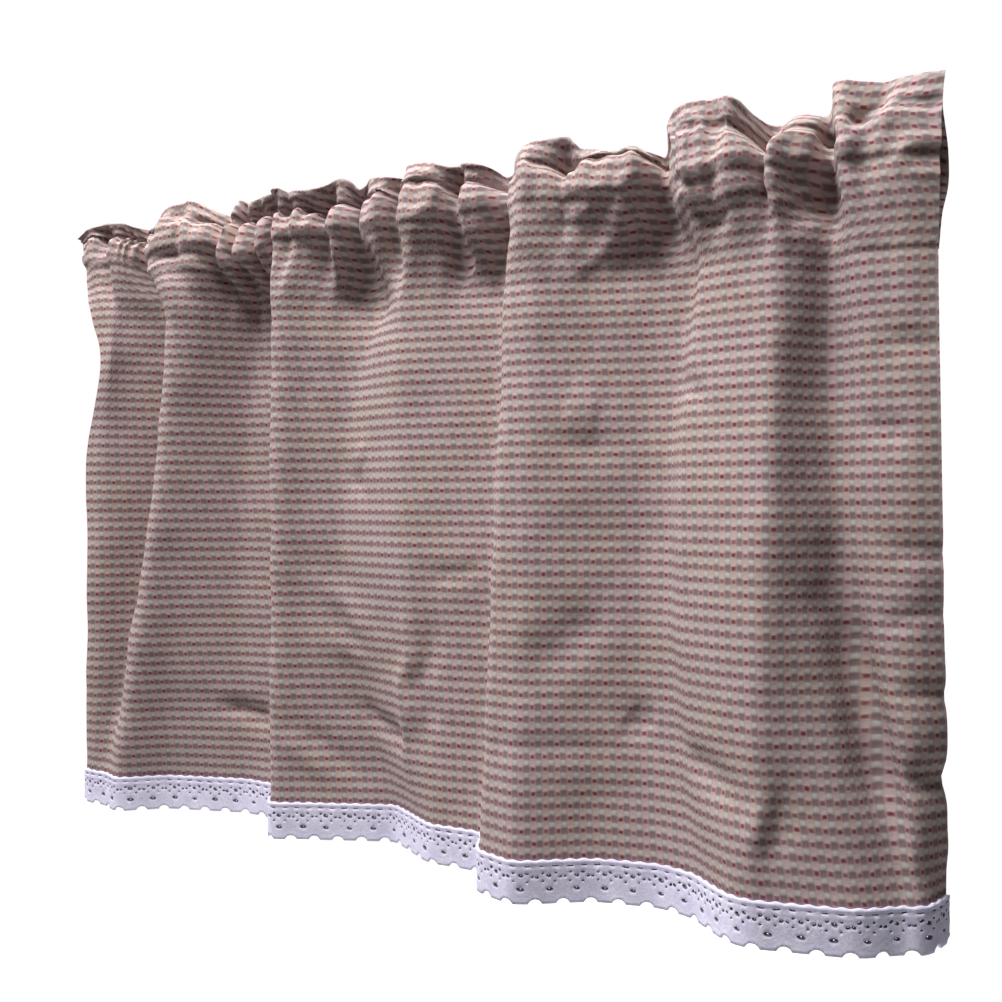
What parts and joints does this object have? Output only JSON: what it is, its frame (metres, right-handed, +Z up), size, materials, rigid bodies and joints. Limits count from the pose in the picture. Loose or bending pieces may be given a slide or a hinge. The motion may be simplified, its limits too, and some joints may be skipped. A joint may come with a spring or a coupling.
{
  "type": "cafe curtain",
  "caption": "Short cafe curtain of small checked cotton, gathered on a rod pocket under a ruffled top, hanging in soft folds with a lace edging along the hem.",
  "frame": {"origin": "over the axis of the rod that holds the curtain, at the middle of the pocket's upper seam", "axes": "+X along the rod to the right as seen from the room, -Y towards the room, +Z up"},
  "size_m": [0.5765, 0.0729, 0.41],
  "materials": {
    "checked_cotton": "matte woven cotton in a small check of beige, grey and dark red",
    "cotton_lace": "matte white cotton cluny lace"
  },
  "bodies": {
    "root": {"heading": "checked_cotton", "panel": "checked_cotton", "lace_trim": "cotton_lace"}
  },
  "joints": []
}
